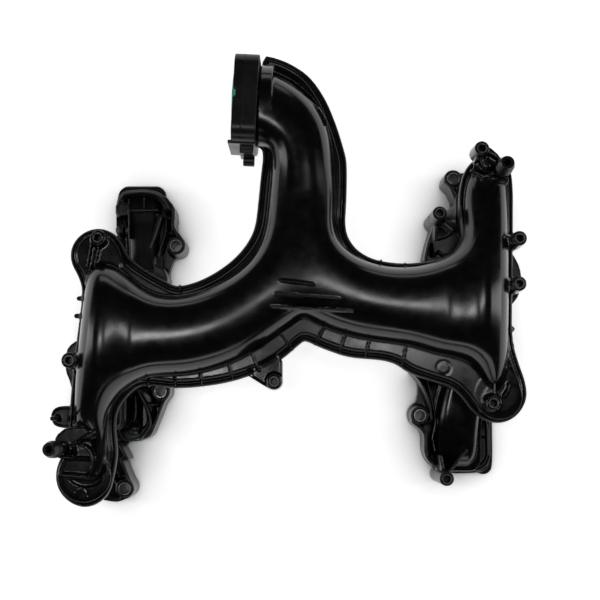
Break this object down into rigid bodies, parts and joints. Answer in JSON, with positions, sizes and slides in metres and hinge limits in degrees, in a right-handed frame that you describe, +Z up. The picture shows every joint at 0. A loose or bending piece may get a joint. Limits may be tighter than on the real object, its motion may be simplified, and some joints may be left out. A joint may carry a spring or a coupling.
{
  "type": "intake manifold",
  "caption": "Y-shaped moulded intake manifold: one throttle neck feeds two plenum arms, with runners down to a flat cylinder-head flange on each side.",
  "frame": {"origin": "middle of the overall box, on the plane of the two cylinder-head faces", "axes": "+X across the engine towards the right bank, +Y along the crankshaft towards the throttle neck, +Z up away from the heads"},
  "size_m": [0.4497, 0.4332, 0.127],
  "materials": {
    "black_nylon_gloss": "black glass-filled nylon, satin to semi-gloss moulded skin",
    "black_nylon": "black glass-filled nylon, satin with fine fibre texture",
    "black_steel": "knurled steel insert, blackened",
    "zinc_steel": "plated steel sleeve",
    "green_rubber": "green silicone rubber seal, matt"
  },
  "bodies": {
    "root": {"upper_shell": "black_nylon_gloss", "right_rear_runner_cover": "black_nylon_gloss", "lower_shell": "black_nylon", "left_runner_body": "black_nylon", "right_runner_body": "black_nylon", "left_front_runner_cover": "black_nylon", "throttle_flange": "black_nylon", "left_hose_nipple": "black_nylon", "right_hose_nipple": "black_nylon", "throttle_seal": "green_rubber", "left_front_port_seal": "green_rubber", "left_middle_port_seal": "green_rubber", "left_rear_port_seal": "green_rubber", "left_bolt_sleeve_1": "zinc_steel", "left_bolt_sleeve_2": "zinc_steel", "left_bolt_sleeve_3": "zinc_steel", "right_front_port_seal": "green_rubber", "right_middle_port_seal": "green_rubber", "right_rear_port_seal": "green_rubber", "right_bolt_sleeve_1": "zinc_steel", "right_bolt_sleeve_2": "zinc_steel", "right_bolt_sleeve_3": "zinc_steel", "throttle_insert_1": "black_steel", "throttle_insert_2": "black_steel", "throttle_insert_3": "black_steel", "throttle_insert_4": "black_steel", "left_post_insert": "black_steel", "left_end_insert": "black_steel", "centre_ear_insert": "black_steel", "right_end_front_insert": "black_steel", "right_post_front_insert": "black_steel", "right_post_rear_insert": "black_steel", "right_end_rear_insert": "black_steel", "right_front_stay_insert": "black_steel", "right_rear_stay_insert": "black_steel"}
  },
  "joints": []
}
